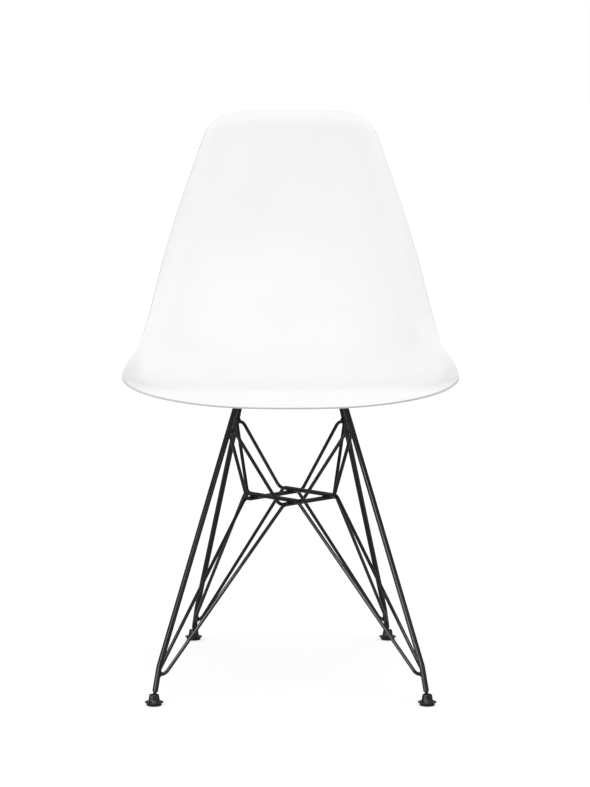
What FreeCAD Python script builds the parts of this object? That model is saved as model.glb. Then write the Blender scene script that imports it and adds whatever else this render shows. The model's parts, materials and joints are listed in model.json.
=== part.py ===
import FreeCAD, Part
import math
import os
from FreeCAD import Vector

# Moulded plastic shell chair on a welded steel wire base.
# Millimetres. Origin at the middle of the footprint on the floor, +X to the right of someone
# who faces the chair, front of the chair towards -Y, +Z up.

# Shell: centre line from the front edge to the top edge
overall_depth = 550.0        # front edge of the seat to the back of the rear glides
pan_height = 422.5           # lowest point of the seat's upper face above the floor
shell_wall = 5.0
# distance behind the front edge, rise above the lowest point of the seat
seat_profile = [(0.0, 23.5), (60.0, 21.0), (140.0, 12.5), (220.0, 4.0), (290.0, 0.5), (345.0, 7.5)]
back_profile = [(390.0, 30.5), (420.0, 70.5), (440.0, 122.5), (460.0, 190.5), (480.0, 259.5),
                (498.0, 322.5), (515.0, 387.0)]

# Shell: outline of one half, laid flat along the centre line
# half width, distance along the centre line from the front edge
front_outline = [(0.0, 0.0), (80.0, 4.0), (145.0, 20.0), (197.0, 51.0), (221.0, 94.0), (233.0, 145.0)]
side_outline = [(236.5, 195.0), (235.5, 251.0), (230.5, 296.0), (222.0, 341.0), (216.0, 386.0),
                (207.8, 440.0), (198.0, 490.0), (185.0, 545.0), (168.2, 605.0), (148.8, 668.0),
                (136.3, 708.0), (127.5, 738.0)]
top_outline = [(117.5, 759.0), (99.0, 772.4), (66.0, 777.5), (0.0, 778.5)]

# Shell: shape across the centre line, as distance along it and a size there
flange_rise = [(0.0, 2.0), (60.0, 5.0), (140.0, 15.0), (222.0, 30.0), (292.0, 44.0), (347.0, 55.0),
               (398.0, 60.0), (448.0, 58.0), (504.0, 53.0), (574.0, 46.0), (646.0, 36.0),
               (712.0, 23.0), (778.5, 13.0)]
flange_sharpness = [(0.0, 2.2), (60.0, 2.2), (140.0, 2.4), (222.0, 2.8), (292.0, 3.0), (398.0, 3.6),
                    (520.0, 5.0), (646.0, 5.5), (778.5, 5.5)]
lip_width = [(0.0, 36.0), (60.0, 34.0), (140.0, 30.0), (222.0, 26.0), (347.0, 29.0), (448.0, 32.0),
             (574.0, 30.0), (712.0, 20.0), (778.5, 18.0)]
lip_drop = [(0.0, 23.4), (8.0, 21.5), (20.0, 17.9), (45.0, 11.2), (75.0, 7.1), (110.0, 4.5),
            (145.0, 3.8), (200.0, 6.0), (292.0, 9.0), (347.0, 12.0), (398.0, 15.0), (520.0, 16.0),
            (600.0, 14.0), (712.0, 9.0), (778.5, 8.0)]
lip_curl = [(0.0, 2.0), (145.0, 1.7), (300.0, 1.45), (600.0, 1.4), (778.5, 1.6)]
edge_round = 1.0             # rounding of the shell's cut edge
shell_middle = 390.0         # where the shell's surface net is centred, along the centre line
net_rays = 96                # surface net: rays around the shell
net_from_rim = [0.0, 3.0, 7.0, 12.0, 18.0, 25.0, 33.0, 43.0, 56.0]
net_to_middle = [0.82, 0.64, 0.48, 0.34, 0.22, 0.12, 0.05, 0.0]

# Seat mounts: boss, threaded insert, rubber mount, screw and washer at each corner
boss_radius = 12.0
boss_into_wall = 2.0         # how deep the boss reaches into the shell wall from below
boss_trim = 40.0             # blank height that each boss is cut from
mount_inset = 26.0           # screw axis from the top of the leg, along the cross bar
mount_drop = 11.5            # underside of the bosses below the lowest point of the seat
insert_radius = 4.5
insert_length = 7.0
rubber_radius = 14.0
rubber_height = 8.0
screw_radius = 3.0
screw_length = 20.0
screw_head_radius = 6.0
screw_head_height = 3.6
screw_socket_radius = 2.3
screw_socket_depth = 2.4
washer_radius = 6.5
washer_height = 1.2
screw_clearance = 0.3

# Cross bars: two flat bars, the upper one joggled over the lower one
bar_width = 26.0
bar_thickness = 4.0
bar_past_leg = 8.0
joggle_flat = 16.0           # half length of the raised middle
joggle_ramp = 12.0

# Legs: steel rod, bent once just above the glide
leg_radius = 4.0
leg_bend_radius = 40.0
leg_bend_height = 52.0
front_leg_top = (77.1, -51.8)
front_leg_bend = (182.0, -192.0)
front_glide = (188.7, -203.0)
back_leg_top = (70.4, 88.6)
back_leg_bend = (142.5, 248.5)
back_glide_x = 148.3

# Braces: four upper and four lower wires, bent to a hairpin at the leg
wire_radius = 2.5
weld_sink = 0.15             # how far a welded wire is sunk into the rod it crosses
hairpin_radius = 8.0
corner_radius = 13.0
ring_y = 18.0                # middle of the welded ring
ring_height = 259.0
upper_corner = (62.5, 68.0, 16.0)    # reach sideways, reach front to back, offset from the middle
lower_corner = (66.0, 70.0, 10.0)
upper_weld_front = 33.0      # upper hairpins below the top of the leg
upper_weld_back = 40.0
lower_weld_front = 43.0      # lower hairpins above the floor
lower_weld_back = 35.0

# Glides: boot that snaps over a ball at the foot of the leg, with a pressed-on sole
ball_radius = 5.0
ball_height = 11.3
ball_clearance = 0.2
neck_radius = 2.5
neck_length = 8.0            # ball centre to the end of the rod
stem_radius = 2.0
stem_length = 12.0
mouth_height = 2.4           # snap edge above the ball centre
mouth_flare = 35.0           # degrees
collar_top = 4.2             # top of the collar above the ball centre
collar_top_radius = 6.6
collar_base_radius = 8.1
collar_slots = 6
slot_width = 1.2
slot_floor = 9.0
flange_radius = 13.0
flange_bottom = 3.5
flange_top = 6.0
flange_round = 1.0
sole_radius = 10.5
sole_floor = 1.5
sole_round = 0.8
spigot_radius = 7.0

UP = Vector(0, 0, 1)
SIDES = {"left": -1.0, "right": 1.0}
front_edge_y = -overall_depth / 2.0
back_glide = (back_glide_x, overall_depth / 2.0 - flange_radius)
boss_bottom = pan_height - mount_drop
bar_top = boss_bottom - rubber_height
bar_bottom = bar_top - bar_thickness


# Curves of the shell

def station_curve(stations):
    """Smooth function through (position, value) pairs."""
    curve = Part.BSplineCurve()
    points = [Vector(value, position, 0) for position, value in stations]
    curve.interpolate(Points=points, Parameters=[position for position, value in stations])
    first = stations[0][0]
    last = stations[-1][0]
    return lambda s: curve.value(min(max(s, first), last)).x


def centre_line():
    """Centre line of the shell's upper face, measured along its own length."""
    points = []
    for run, rise in seat_profile + back_profile:
        points.append(Vector(0, front_edge_y + run, pan_height + rise))
    lengths = [0.0]
    for a, b in zip(points, points[1:]):
        lengths.append(lengths[-1] + a.distanceToPoint(b))
    curve = Part.BSplineCurve()
    curve.interpolate(Points=points, Parameters=lengths)
    return curve, lengths[-1]


def half_width_curve():
    """Half width of the shell along its sides."""
    stations = [(along, half) for half, along in front_outline[4:] + side_outline + top_outline[:1]]
    return station_curve(stations)


def outline_curve():
    """Closed outline of the flattened shell, x across and y along the centre line."""
    right = front_outline + side_outline + top_outline
    left = [(-half, along) for half, along in reversed(right[1:-1])]
    curve = Part.BSplineCurve()
    curve.interpolate(Points=[Vector(half, along, 0) for half, along in right + left],
                      PeriodicFlag=True)
    return curve


class ShellForm:
    """The shell's upper face as a function of a point on the flattened outline."""

    def __init__(self):
        self.line, self.length = centre_line()
        self.half_width = half_width_curve()
        self.rise = station_curve(flange_rise)
        self.sharpness = station_curve(flange_sharpness)
        self.lip_width = station_curve(lip_width)
        self.lip_drop = station_curve(lip_drop)
        self.lip_curl = station_curve(lip_curl)
        self.outline = outline_curve()
        first = self.outline.FirstParameter
        step = (self.outline.LastParameter - first) / (4 * net_rays)
        self.rim = [self.outline.value(first + step * k) for k in range(4 * net_rays)]

    def rim_distance(self, x, s):
        """Distance from a point of the flattened shell to its outline."""
        best = 1.0e9
        for a, b in zip(self.rim, self.rim[1:] + self.rim[:1]):
            dx = b.x - a.x
            dy = b.y - a.y
            t = ((x - a.x) * dx + (s - a.y) * dy) / (dx * dx + dy * dy)
            t = min(max(t, 0.0), 1.0)
            best = min(best, math.hypot(x - a.x - t * dx, s - a.y - t * dy))
        return best

    def point(self, x, s):
        """Point of the upper face."""
        along = min(max(s, 0.0), self.length)
        place = self.line.value(along)
        tangent = self.line.tangent(along)[0]
        normal = Vector(0, -tangent.z, tangent.y)
        share = abs(x) / self.half_width(along)
        height = self.rise(along) * share ** self.sharpness(along)
        inside = 1.0 - self.rim_distance(x, s) / self.lip_width(along)
        if inside > 0.0:
            height -= self.lip_drop(along) * inside ** self.lip_curl(along)
        return Vector(x, 0, 0) + place + tangent * (s - along) + normal * height

    def normal(self, x, s):
        """Unit normal of the upper face, towards the sitter."""
        step = 1.0
        across = self.point(x + step, s) - self.point(x - step, s)
        along = self.point(x, s + step) - self.point(x, s - step)
        result = across.cross(along)
        return result.normalize()

    def net(self):
        """Flattened net points, one list for each ring from the rim to the middle."""
        first = self.outline.FirstParameter
        step = (self.outline.LastParameter - first) / net_rays
        middle = Vector(0, shell_middle, 0)
        rays = []
        for k in range(net_rays):
            rim = self.outline.value(first + step * k)
            inward = middle - rim
            reach = inward.Length
            inward.normalize()
            ray = [rim + inward * (distance + edge_round) for distance in net_from_rim]
            rest = reach - net_from_rim[-1] - edge_round
            ray += [middle - inward * (rest * share) for share in net_to_middle]
            rays.append(ray)
        return [[ray[k] for ray in rays] for k in range(len(rays[0]))]


def net_surface(rows, across_degree):
    """Surface on a net of poles: clamped across, closed around."""
    count = len(rows)
    spans = count - across_degree
    across_mults = [across_degree + 1] + [1] * (spans - 1) + [across_degree + 1]
    around = len(rows[0])
    surface = Part.BSplineSurface()
    surface.buildFromPolesMultsKnots(
        rows, across_mults, [1] * (around + 1), [float(k) for k in range(spans + 1)],
        [float(k) for k in range(around + 1)], False, True, across_degree, 3)
    return surface.toShape()


def sheet(form, above, below):
    """Closed sheet between two offsets from the shell's upper face, with a rounded rim."""
    net = form.net()
    upper = []
    lower = []
    for ring in net:
        places = [form.point(p.x, p.y) for p in ring]
        normals = [form.normal(p.x, p.y) for p in ring]
        upper.append([p + n * above for p, n in zip(places, normals)])
        lower.append([p - n * below for p, n in zip(places, normals)])
    edge = [upper[0], [], [], [], [], lower[0]]
    for k in range(net_rays):
        outward = (upper[0][k] - upper[1][k]).normalize() + (lower[0][k] - lower[1][k]).normalize()
        proud = outward.normalize() * edge_round
        down = (lower[0][k] - upper[0][k]).normalize() * edge_round
        edge[1].append(upper[0][k] + proud)
        edge[2].append(upper[0][k] + proud + down)
        edge[3].append(lower[0][k] + proud - down)
        edge[4].append(lower[0][k] + proud)
    faces = [net_surface(upper, 3), net_surface(lower, 3), net_surface(edge, 2)]
    skin = Part.makeShell(faces)
    skin.sewShape()
    solid = Part.makeSolid(skin)
    if solid.Volume < 0:
        solid.reverse()
    return solid


# Places shared by several pieces

def corner_names():
    """Every leg position as (name, side sign, is front)."""
    places = []
    for row in ("front", "back"):
        for side, sign in SIDES.items():
            places.append((row + "_" + side, sign, row == "front"))
    return places


def leg_points(sign, front):
    """Top, bend and ball centre of a leg."""
    top, bend, foot = (front_leg_top, front_leg_bend, front_glide) if front else (
        back_leg_top, back_leg_bend, back_glide)
    return (Vector(sign * top[0], top[1], bar_bottom),
            Vector(sign * bend[0], bend[1], leg_bend_height),
            Vector(sign * foot[0], foot[1], ball_height))


def bar_direction(sign, front):
    """Horizontal direction from a leg's top along its cross bar, and the bar's length."""
    start = leg_points(sign, front)[0]
    end = leg_points(-sign, not front)[0]
    run = end - start
    length = run.Length
    return run.normalize(), length


def mount_point(sign, front):
    """Screw axis of a seat mount, at the top of the cross bar."""
    start = leg_points(sign, front)[0]
    run, length = bar_direction(sign, front)
    place = start + run * mount_inset
    return Vector(place.x, place.y, bar_top)


def cylinder(radius, height, base, axis=UP):
    return Part.makeCylinder(radius, height, base, axis)


# Wires and rods

def rounded_path(points, radii):
    """Straight runs joined by tangent arcs."""
    edges = []
    start = points[0]
    for before, corner, after, radius in zip(points, points[1:], points[2:], radii):
        back = (before - corner).normalize()
        ahead = (after - corner).normalize()
        half = back.getAngle(ahead) / 2.0
        reach = radius / math.tan(half)
        bisector = (back + ahead).normalize()
        middle = corner + bisector * (radius / math.sin(half) - radius)
        arc_start = corner + back * reach
        arc_end = corner + ahead * reach
        edges.append(Part.LineSegment(start, arc_start).toShape())
        edges.append(Part.Arc(arc_start, middle, arc_end).toShape())
        start = arc_end
    edges.append(Part.LineSegment(start, points[-1]).toShape())
    return Part.Wire(edges)


def rod(points, radii, radius):
    """Round rod along a rounded path."""
    path = rounded_path(points, radii)
    direction = points[1] - points[0]
    section = Part.Wire(Part.Circle(points[0], direction, radius).toShape())
    return path.makePipeShell([section], True, False)


def ring_corner(kind, sign, front, at_side):
    """Corner of a brace in the welded ring. One pair of legs lies one wire above the other."""
    reach_x, reach_y, offset = upper_corner if kind == "upper" else lower_corner
    upper_layer = (sign > 0) == front
    z = ring_height + (wire_radius if upper_layer else -wire_radius)
    row = -1.0 if front else 1.0
    if at_side:
        return Vector(sign * reach_x, ring_y + row * offset, z)
    return Vector(sign * offset, ring_y + row * reach_y, z)


def weld_point(kind, sign, front):
    """Middle of the hairpin bend, where the wire lies against the inside of the leg."""
    top, bend, foot = leg_points(sign, front)
    if kind == "upper":
        height = top.z - (upper_weld_front if front else upper_weld_back)
    else:
        height = lower_weld_front if front else lower_weld_back
    low, high = (bend, top) if height > bend.z else (foot, bend)
    on_leg = low + (high - low) * ((height - low.z) / (high.z - low.z))
    along = (high - low).normalize()
    inward = Vector(0, ring_y, height) - on_leg
    inward = inward - along * inward.dot(along)
    return on_leg + inward.normalize() * (leg_radius + wire_radius - weld_sink)


def hairpin_vertex(apex, first, second):
    """Sharp corner whose rounded bend has its middle at the given apex."""
    outward = (apex - (first + second) * 0.5).normalize()
    extra = hairpin_radius
    for _ in range(40):
        vertex = apex + outward * extra
        half = (first - vertex).getAngle(second - vertex) / 2.0
        extra = hairpin_radius * (1.0 / math.sin(half) - 1.0)
    return vertex


def brace(kind, sign, front):
    """Wire from the middle of one ring run, by the leg, to the middle of the next."""
    side = ring_corner(kind, sign, front, True)
    end = ring_corner(kind, sign, front, False)
    side_next = ring_corner(kind, -sign, not front, False)
    end_next = ring_corner(kind, -sign, not front, True)
    vertex = hairpin_vertex(weld_point(kind, sign, front), side, end)
    points = [(side + side_next) * 0.5, side, vertex, end, (end + end_next) * 0.5]
    return rod(points, [corner_radius, hairpin_radius, corner_radius], wire_radius)


def leg(sign, front):
    """Rod from the cross bar to the ball stud, with a bore for the stud's stem."""
    top, bend, foot = leg_points(sign, front)
    up = (top - bend).normalize()
    down = (foot - bend).normalize()
    past_top = top + up * (2.0 * leg_radius)
    end = foot - down * neck_length
    body = rod([past_top, bend, end], [leg_bend_radius], leg_radius)
    size = 4.0 * leg_radius
    corner = Vector(top.x - size, top.y - size, top.z)
    body = body.cut(Part.makeBox(2 * size, 2 * size, 2 * size, corner))
    return body.cut(cylinder(stem_radius, stem_length, end, down * -1.0))


def ball_stud(sign, front):
    """Ball, neck and stem pressed into the end of the leg."""
    top, bend, foot = leg_points(sign, front)
    up = (bend - foot).normalize()
    shank = cylinder(neck_radius, neck_length, foot, up)
    stem = cylinder(stem_radius, stem_length, foot + up * neck_length, up)
    ball = Part.makeSphere(ball_radius, foot)
    return ball.fuse([shank, stem]).removeSplitter()


# Glides

def turned(points, centre):
    """Solid of revolution about the vertical through a glide's centre."""
    outline = [Vector(centre.x + r, centre.y, z) for r, z in points]
    face = Part.Face(Part.makePolygon(outline + outline[:1]))
    return face.revolve(Vector(centre.x, centre.y, 0), UP, 360)


def glide_boot(sign, front):
    """Flanged boot with a slotted collar that holds the ball."""
    foot = leg_points(sign, front)[2]
    top = ball_height + collar_top
    outer = [(0, sole_floor), (spigot_radius, sole_floor), (spigot_radius, flange_bottom),
             (flange_radius - flange_round, flange_bottom),
             (flange_radius, flange_bottom + flange_round),
             (flange_radius, flange_top - flange_round / 2.0),
             (flange_radius - flange_round, flange_top), (collar_base_radius, flange_top + 0.6),
             (collar_top_radius, top), (0, top)]
    body = turned(outer, foot)
    socket_radius = ball_radius + ball_clearance
    socket = Part.makeSphere(socket_radius, foot)
    mouth_radius = math.sqrt(socket_radius ** 2 - mouth_height ** 2)
    flare_rise = collar_top - mouth_height
    flare_radius = mouth_radius + flare_rise * math.tan(math.radians(mouth_flare))
    mouth = Part.makeCone(mouth_radius, flare_radius, flare_rise, foot + UP * mouth_height, UP)
    body = body.cut([socket, mouth])
    for k in range(collar_slots):
        slot = Part.makeBox(2 * collar_base_radius, slot_width, top,
                            Vector(foot.x, foot.y - slot_width / 2.0, slot_floor))
        slot.rotate(Vector(foot.x, foot.y, 0), UP, 360.0 * (k + 0.5) / collar_slots)
        body = body.cut(slot)
    return body


def glide_sole(sign, front):
    """Cup-shaped sole pressed over the boot's spigot."""
    foot = leg_points(sign, front)[2]
    points = [(0, 0), (sole_radius - sole_round, 0), (sole_radius, sole_round),
              (sole_radius, flange_bottom), (spigot_radius, flange_bottom),
              (spigot_radius, sole_floor), (0, sole_floor)]
    return turned(points, foot)


# Seat mounts and cross bars

def cross_bar(front_sign, joggled):
    """Flat bar between two opposite legs, with a screw hole near each end."""
    start = leg_points(front_sign, True)[0]
    run, length = bar_direction(front_sign, True)
    side = UP.cross(run)
    middle = abs(start.x / run.x)
    lift = bar_thickness if joggled else 0.0
    steps = [(-bar_past_leg, 0.0), (middle - joggle_flat - joggle_ramp, 0.0),
             (middle - joggle_flat, lift), (middle + joggle_flat, lift),
             (middle + joggle_flat + joggle_ramp, 0.0), (length + bar_past_leg, 0.0)]
    if not joggled:
        steps = [steps[0], steps[-1]]
    lower = [start + run * t + UP * z - side * (bar_width / 2.0) for t, z in steps]
    upper = [p + UP * bar_thickness for p in reversed(lower)]
    face = Part.Face(Part.makePolygon(lower + upper + lower[:1]))
    body = face.extrude(side * bar_width)
    corners = []
    for edge in body.Edges:
        upright = abs(edge.Vertexes[0].Z - edge.Vertexes[-1].Z) > bar_thickness * 0.99
        at_end = min(abs((edge.CenterOfMass - start).dot(run) - t) for t in (steps[0][0], steps[-1][0]))
        if upright and at_end < 0.01:
            corners.append(edge)
    body = body.makeFillet(bar_width * 0.35, corners)
    for sign, front in ((front_sign, True), (-front_sign, False)):
        place = mount_point(sign, front)
        base = Vector(place.x, place.y, bar_bottom - 1.0)
        body = body.cut(cylinder(screw_radius + screw_clearance, bar_thickness + 2.0, base))
    return body


def rubber_mount(sign, front):
    """Rubber spacer between cross bar and boss."""
    place = mount_point(sign, front)
    body = cylinder(rubber_radius, rubber_height, place)
    body = body.makeFillet(1.2, [e for e in body.Edges if e.Closed])
    return body.cut(cylinder(screw_radius + screw_clearance, rubber_height, place))


def threaded_insert(sign, front):
    """Brass insert moulded into the boss."""
    place = mount_point(sign, front)
    base = Vector(place.x, place.y, boss_bottom)
    body = cylinder(insert_radius, insert_length, base)
    return body.cut(cylinder(screw_radius, insert_length, base))


def washer(sign, front):
    place = mount_point(sign, front)
    base = Vector(place.x, place.y, bar_bottom - washer_height)
    body = cylinder(washer_radius, washer_height, base)
    return body.cut(cylinder(screw_radius + screw_clearance, washer_height, base))


def mount_screw(sign, front):
    """Socket screw from below through the bar and the rubber into the insert."""
    place = mount_point(sign, front)
    base = Vector(place.x, place.y, bar_bottom - washer_height)
    shank = cylinder(screw_radius, screw_length, base)
    head_base = base - UP * screw_head_height
    head = cylinder(screw_head_radius, screw_head_height, head_base)
    head = head.makeFillet(1.0, [e for e in head.Edges if e.Closed and e.CenterOfMass.z < base.z - 0.1])
    socket = Part.makePolygon([head_base + Vector(screw_socket_radius * math.cos(math.radians(60 * k)),
                                                  screw_socket_radius * math.sin(math.radians(60 * k)), 0)
                               for k in range(7)])
    recess = Part.Face(socket).extrude(UP * screw_socket_depth)
    return head.fuse(shank).removeSplitter().cut(recess)


def seat_shell(form):
    """Shell with four bosses moulded on its underside, each bored for its insert and screw."""
    body = sheet(form, 0.0, shell_wall)
    above = sheet(form, boss_trim, boss_into_wall - shell_wall)
    to_front_edge = Vector(0, front_edge_y - body.optimalBoundingBox().YMin, 0)
    body.translate(to_front_edge)
    above.translate(to_front_edge)
    for name, sign, front in corner_names():
        place = mount_point(sign, front)
        base = Vector(place.x, place.y, boss_bottom)
        boss = cylinder(boss_radius, boss_trim, base).cut(above)
        boss = min(boss.Solids, key=lambda solid: solid.CenterOfMass.z)
        body = body.fuse(boss)
    for name, sign, front in corner_names():
        place = mount_point(sign, front)
        base = Vector(place.x, place.y, boss_bottom)
        body = body.cut(cylinder(insert_radius, insert_length, base))
        depth = screw_length - washer_height - bar_thickness - rubber_height + screw_clearance
        body = body.cut(cylinder(screw_radius + screw_clearance, depth, base))
    return body


def build():
    """All pieces by node name."""
    pieces = {"seat_shell": seat_shell(ShellForm())}
    pieces["cross_bar_lower"] = cross_bar(SIDES["left"], False)
    pieces["cross_bar_upper"] = cross_bar(SIDES["right"], True)
    fasteners = {"threaded_inserts": threaded_insert, "mount_screws": mount_screw,
                 "screw_washers": washer}
    for node, make in fasteners.items():
        pieces[node] = Part.makeCompound([make(sign, front) for name, sign, front in corner_names()])
    for name, sign, front in corner_names():
        pieces["leg_" + name] = leg(sign, front)
        pieces["upper_brace_" + name] = brace("upper", sign, front)
        pieces["lower_brace_" + name] = brace("lower", sign, front)
        pieces["rubber_mount_" + name] = rubber_mount(sign, front)
        pieces["ball_stud_" + name] = ball_stud(sign, front)
        pieces["glide_boot_" + name] = glide_boot(sign, front)
        pieces["glide_sole_" + name] = glide_sole(sign, front)
    return pieces


os.makedirs("parts", exist_ok=True)
for node, shape in build().items():
    shape.exportStep("parts/" + node + ".step")
    box = shape.BoundBox
    print(node, len(shape.Solids), "solids, valid", shape.isValid(), "volume", round(shape.Volume, 1),
          "y", round(box.YMin, 2), round(box.YMax, 2), "z", round(box.ZMin, 2), round(box.ZMax, 2))
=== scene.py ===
import json
import math

import bmesh
import bpy
import numpy as np
from mathutils import Matrix, Vector
from mathutils.bvhtree import BVHTree

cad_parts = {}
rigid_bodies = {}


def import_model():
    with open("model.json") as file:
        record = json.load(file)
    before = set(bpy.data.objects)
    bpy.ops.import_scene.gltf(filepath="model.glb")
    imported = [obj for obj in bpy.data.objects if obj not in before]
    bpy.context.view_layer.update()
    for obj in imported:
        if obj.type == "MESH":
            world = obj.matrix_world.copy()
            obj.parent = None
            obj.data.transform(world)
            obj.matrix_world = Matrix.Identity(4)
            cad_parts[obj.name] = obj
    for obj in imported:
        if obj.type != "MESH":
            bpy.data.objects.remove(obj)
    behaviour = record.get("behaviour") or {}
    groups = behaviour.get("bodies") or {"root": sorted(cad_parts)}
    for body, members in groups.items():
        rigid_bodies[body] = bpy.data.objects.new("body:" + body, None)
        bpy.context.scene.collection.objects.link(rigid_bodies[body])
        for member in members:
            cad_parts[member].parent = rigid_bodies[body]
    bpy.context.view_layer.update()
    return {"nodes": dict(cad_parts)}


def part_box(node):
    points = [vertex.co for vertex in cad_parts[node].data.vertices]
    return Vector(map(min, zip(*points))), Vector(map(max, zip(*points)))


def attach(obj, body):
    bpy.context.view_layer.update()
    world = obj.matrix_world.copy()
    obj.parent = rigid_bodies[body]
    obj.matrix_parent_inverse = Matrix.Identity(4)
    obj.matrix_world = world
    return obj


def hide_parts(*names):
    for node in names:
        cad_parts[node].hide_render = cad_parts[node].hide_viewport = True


# White moulded shell chair on a welded black wire base. Metres; the chair faces -Y.

mm = 0.001
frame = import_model()
legCorners = {  # side, is a front leg
    "front_left": (-1, True),
    "front_right": (1, True),
    "back_left": (-1, False),
    "back_right": (1, False),
}
print("frame loaded,", len(frame["nodes"]), "parts")


# helpers for meshes

def newPiece(name, mesh):
    piece = bpy.data.objects.new(name, mesh)
    bpy.context.scene.collection.objects.link(piece)
    return piece


def meshFrom(name, points, faces, edges=()):
    mesh = bpy.data.meshes.new(name)
    mesh.from_pydata([tuple(p) for p in points], list(edges), [tuple(f) for f in faces])
    mesh.update()
    return mesh


def polar(radius, turn, height):
    return Vector((radius * math.cos(turn), radius * math.sin(turn), height))


def stripFaces(low, high, count):
    # quads between two rings, whose points start at low and at high
    faces = []
    for k in range(count):
        after = (k + 1) % count
        faces.append((low + k, low + after, high + after, high + k))
    return faces


def turnOutwards(mesh):
    form = bmesh.new()
    form.from_mesh(mesh)
    bmesh.ops.recalc_face_normals(form, faces=form.faces)
    form.to_mesh(mesh)
    form.free()


def rowsMesh(name, rows):
    # skin over rings of points, closed at both ends by the first and last point
    count = len(rows[1])
    points = [rows[0][0]]
    for row in rows[1:-1]:
        points += row
    points.append(rows[-1][0])
    faces = []
    last = len(points) - 1
    lastRing = 1 + count * (len(rows) - 3)
    for k in range(count):
        after = (k + 1) % count
        faces.append((0, 1 + after, 1 + k))
        for ring in range(len(rows) - 3):
            low = 1 + ring * count
            high = low + count
            faces.append((low + k, low + after, high + after, high + k))
        faces.append((last, lastRing + k, lastRing + after))
    mesh = meshFrom(name, points, faces)
    turnOutwards(mesh)
    return mesh


def turnedMesh(name, profile, sides):
    # profile of (radius, height) in millimetres from axis to axis
    rows = [[polar(radius, math.tau * k / sides, height) * mm for k in range(sides)]
            for radius, height in profile]
    return rowsMesh(name, rows)


def settle(piece):
    # live modifiers become plain mesh
    bpy.context.view_layer.update()
    graph = bpy.context.evaluated_depsgraph_get()
    mesh = bpy.data.meshes.new_from_object(piece.evaluated_get(graph))
    piece.modifiers.clear()
    piece.data = mesh
    return piece


def placeMesh(mesh, matrix):
    copy = mesh.copy()
    copy.transform(matrix)
    return copy


def joinMeshes(name, meshes):
    form = bmesh.new()
    for mesh in meshes:
        form.from_mesh(mesh)
    joined = bpy.data.meshes.new(name)
    form.to_mesh(joined)
    form.free()
    return joined


def smoothShade(mesh, sharpAngle=None):
    mesh.shade_smooth()
    if sharpAngle:
        mesh.set_sharp_from_angle(angle=math.radians(sharpAngle))


def standFor(piece, body, slotName, *nodes):
    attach(piece, body)
    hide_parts(*nodes)


# helpers for nodes

def wire(tree, *joins):
    for source, output, target, entry in joins:
        tree.links.new(source.outputs[output], target.inputs[entry])


def newTree(name, inputs):
    tree = bpy.data.node_groups.new(name, "GeometryNodeTree")
    tree.interface.new_socket("Geometry", in_out="INPUT", socket_type="NodeSocketGeometry")
    for label, kind in inputs:
        tree.interface.new_socket(label, in_out="INPUT", socket_type=kind)
    tree.interface.new_socket("Geometry", in_out="OUTPUT", socket_type="NodeSocketGeometry")
    return tree, tree.nodes.new("NodeGroupInput"), tree.nodes.new("NodeGroupOutput")


def namedAttribute(tree, name, kind):
    node = tree.nodes.new("GeometryNodeInputNamedAttribute")
    node.data_type = kind
    node.inputs["Name"].default_value = name
    return node


def finishTree(tree, last, output, groupIn, groupOut):
    # plain geometry with its material at the end
    realize = tree.nodes.new("GeometryNodeRealizeInstances")
    smooth = tree.nodes.new("GeometryNodeSetShadeSmooth")
    material = tree.nodes.new("GeometryNodeSetMaterial")
    wire(tree, (last, output, realize, "Geometry"), (realize, "Geometry", smooth, "Geometry"),
         (smooth, "Geometry", material, "Geometry"), (groupIn, "Material", material, "Material"),
         (material, "Geometry", groupOut, "Geometry"))


def growPiece(name, mesh, tree, values):
    piece = newPiece(name, mesh)
    modifier = piece.modifiers.new("build", "NODES")
    modifier.node_group = tree
    sockets = {item.name: item.identifier for item in tree.interface.items_tree
               if item.in_out == "INPUT"}
    for label, value in values.items():
        modifier[sockets[label]] = value
    return settle(piece)


def markedPoints(name, places, attributes, edges=()):
    # points with one value or vector each, loose or joined by edges
    mesh = meshFrom(name, places, [], edges)
    for label, values in attributes.items():
        kind = "FLOAT_VECTOR" if hasattr(values[0], "__len__") else "FLOAT"
        layer = mesh.attributes.new(label, kind, "POINT")
        flat = [x for value in values for x in value] if kind == "FLOAT_VECTOR" else values
        layer.data.foreach_set("vector" if kind == "FLOAT_VECTOR" else "value", flat)
    return mesh


# helpers for materials

surfaceLook = {
    "grainDetail": 4.0, "grainRoughness": 0.6, "patchDetail": 3.0,
    "roughnessSpan": (0.3, 0.7), "toneSpan": (0.35, 0.65),
}


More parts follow.
